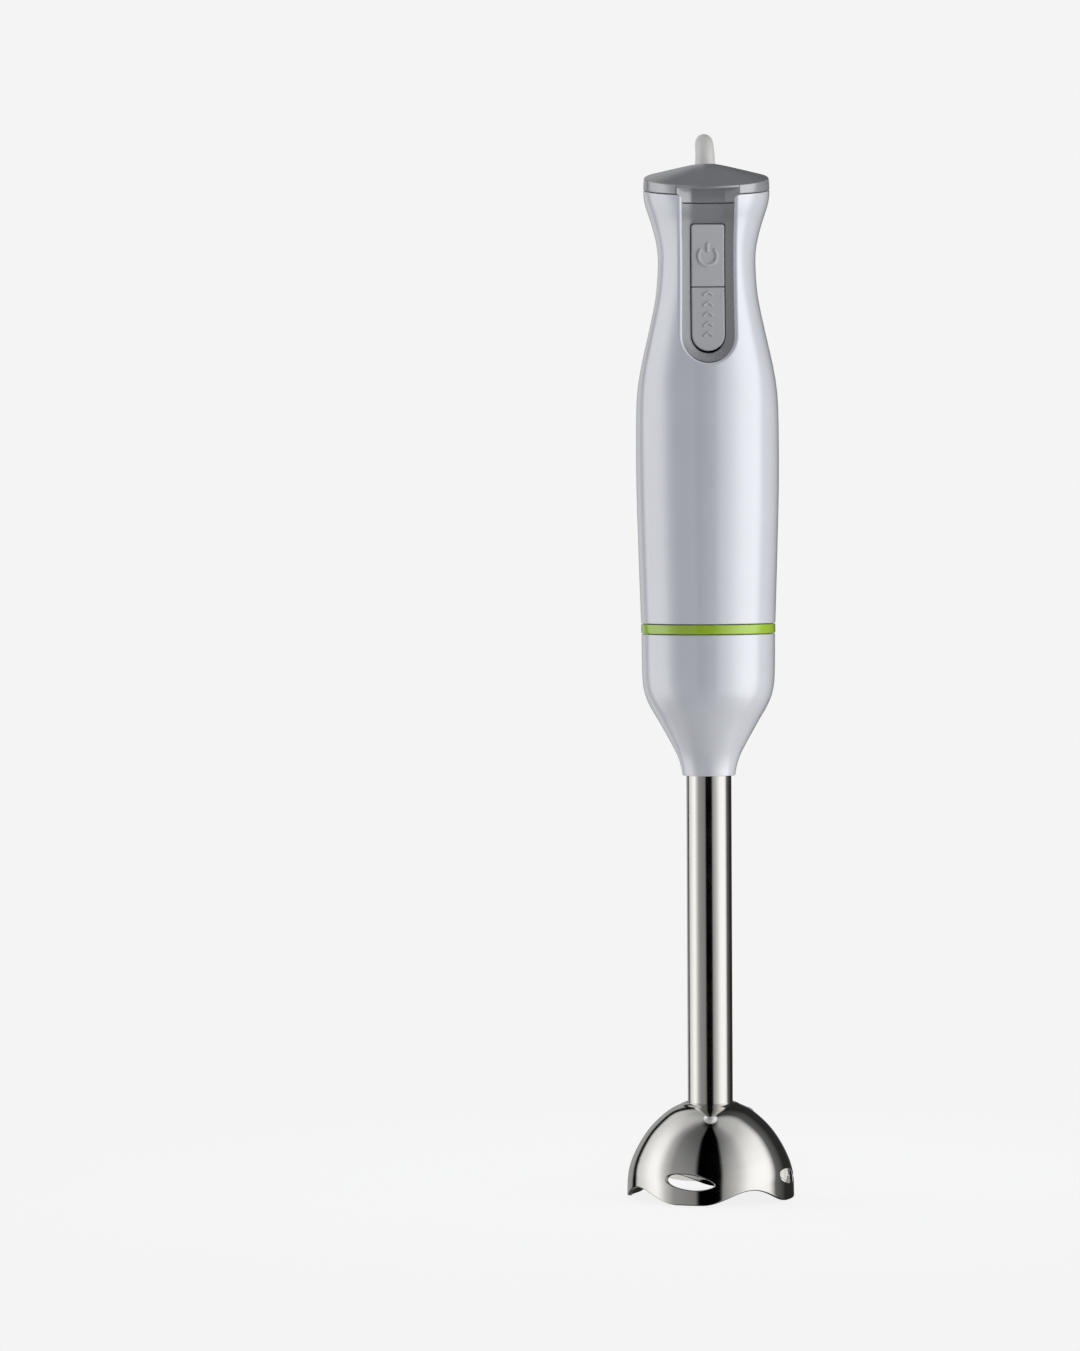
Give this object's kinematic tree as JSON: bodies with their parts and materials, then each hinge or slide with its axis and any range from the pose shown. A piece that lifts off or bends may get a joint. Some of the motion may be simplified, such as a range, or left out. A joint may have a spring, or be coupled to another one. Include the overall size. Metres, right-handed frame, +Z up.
{
  "type": "immersion blender",
  "caption": "Upright stick blender: white motor handle with grey cap, panel and two buttons, trim ring, steel wand, lobed bell guard with side windows, mains lead and plug.",
  "frame": {"origin": "centre of the bell guard's footprint, on the surface it stands on, under the wand's axis", "axes": "+Z up along the wand and handle; the buttons face -Y; the lead hangs behind, towards +Y"},
  "size_m": [0.062, 0.2106, 0.3956],
  "materials": {
    "housing_white": "glossy injection-moulded white with a cool tint",
    "cap_grey": "satin dark grey moulding",
    "panel_grey": "satin mid grey moulding",
    "button_grey": "fine-textured light grey soft moulding",
    "trim_green": "glossy lime green",
    "polished_steel": "mirror-polished stainless steel",
    "tube_steel": "finely brushed stainless steel tube",
    "dark_steel": "plain steel",
    "bronze": "sintered bronze",
    "copper": "enamelled copper wire and bars",
    "black_plastic": "black engineering plastic",
    "natural_nylon": "uncoloured nylon",
    "rubber_black": "black rubber",
    "magnet_ferrite": "sintered ferrite magnet",
    "board_green": "glass-epoxy circuit board",
    "capacitor_yellow": "moulded film capacitor",
    "lead_grey": "soft light grey PVC",
    "tie_black": "black plastic-covered tie"
  },
  "bodies": {
    "wand": {"wand_collar": "housing_white", "wand_tube": "tube_steel", "bell_guard": "polished_steel", "upper_bush": "bronze", "lower_bush": "bronze", "shaft_seal": "rubber_black", "splash_seal": "rubber_black", "shaft_guard": "natural_nylon"},
    "blade": {"drive_shaft": "dark_steel", "wand_coupling": "black_plastic", "cutting_blade": "polished_steel", "blade_hub": "natural_nylon", "blade_nut": "polished_steel", "shaft_clip": "dark_steel"},
    "lock_ring": {"trim_ring": "trim_green", "bayonet_ring": "natural_nylon", "cord_hank": "lead_grey", "cord_tie": "tie_black", "plug_body": "lead_grey", "plug_blade_left": "polished_steel", "plug_blade_right": "polished_steel"},
    "handle": {"front_housing": "housing_white", "rear_housing": "housing_white", "top_cap": "cap_grey", "control_panel": "panel_grey", "motor_carrier": "natural_nylon", "motor_bracket": "natural_nylon", "lower_mount": "rubber_black", "upper_mount": "rubber_black", "control_board": "board_green", "power_switch": "black_plastic", "turbo_switch": "black_plastic", "suppression_capacitor": "capacitor_yellow", "cord_clamp": "natural_nylon", "clamp_screw_left": "dark_steel", "clamp_screw_right": "dark_steel", "motor_can": "dark_steel", "motor_end_cap": "black_plastic", "motor_screw_front": "dark_steel", "motor_screw_rear": "dark_steel", "lower_bearing": "bronze", "upper_bearing": "bronze", "motor_magnet_left": "magnet_ferrite", "motor_magnet_right": "magnet_ferrite", "brush_holder_left": "bronze", "brush_holder_right": "bronze", "carbon_brush_left": "black_plastic", "carbon_brush_right": "black_plastic", "cord_boot": "lead_grey", "cord_drop": "lead_grey"},
    "rotor": {"motor_shaft": "dark_steel", "armature_core": "dark_steel", "armature_winding": "copper", "commutator": "copper", "cooling_fan": "black_plastic", "motor_coupling": "black_plastic"},
    "power_button": {"power_button": "button_grey", "power_plunger": "black_plastic"},
    "turbo_button": {"turbo_button": "button_grey", "turbo_plunger": "black_plastic"}
  },
  "joints": [
    {"name": "handle_twist", "type": "hinge", "parent": "wand", "child": "lock_ring", "pos_m": [0, 0, 0.2096], "axis": [0, 0, 1], "range_deg": [0, 30]},
    {"name": "handle_lift", "type": "slide", "parent": "lock_ring", "child": "handle", "axis": [0, 0, 1], "range_m": [0, 0.06]},
    {"name": "power_press", "type": "slide", "parent": "handle", "child": "power_button", "axis": [0, 1, 0], "range_m": [0, 0.002], "stiffness_N_per_m": 700, "springref_m": -0.001},
    {"name": "turbo_press", "type": "slide", "parent": "handle", "child": "turbo_button", "axis": [0, 1, 0], "range_m": [0, 0.002], "stiffness_N_per_m": 700, "springref_m": -0.001},
    {"name": "rotor_spin", "type": "hinge", "parent": "handle", "child": "rotor", "pos_m": [0, 0, 0.25], "axis": [0, 0, 1], "continuous": true},
    {"name": "blade_spin", "type": "hinge", "parent": "wand", "child": "blade", "pos_m": [0, 0, 0.013], "axis": [0, 0, 1], "continuous": true}
  ],
  "couplings": [
    {"joint": "blade_spin", "follows": "rotor_spin", "ratio": 1}
  ]
}
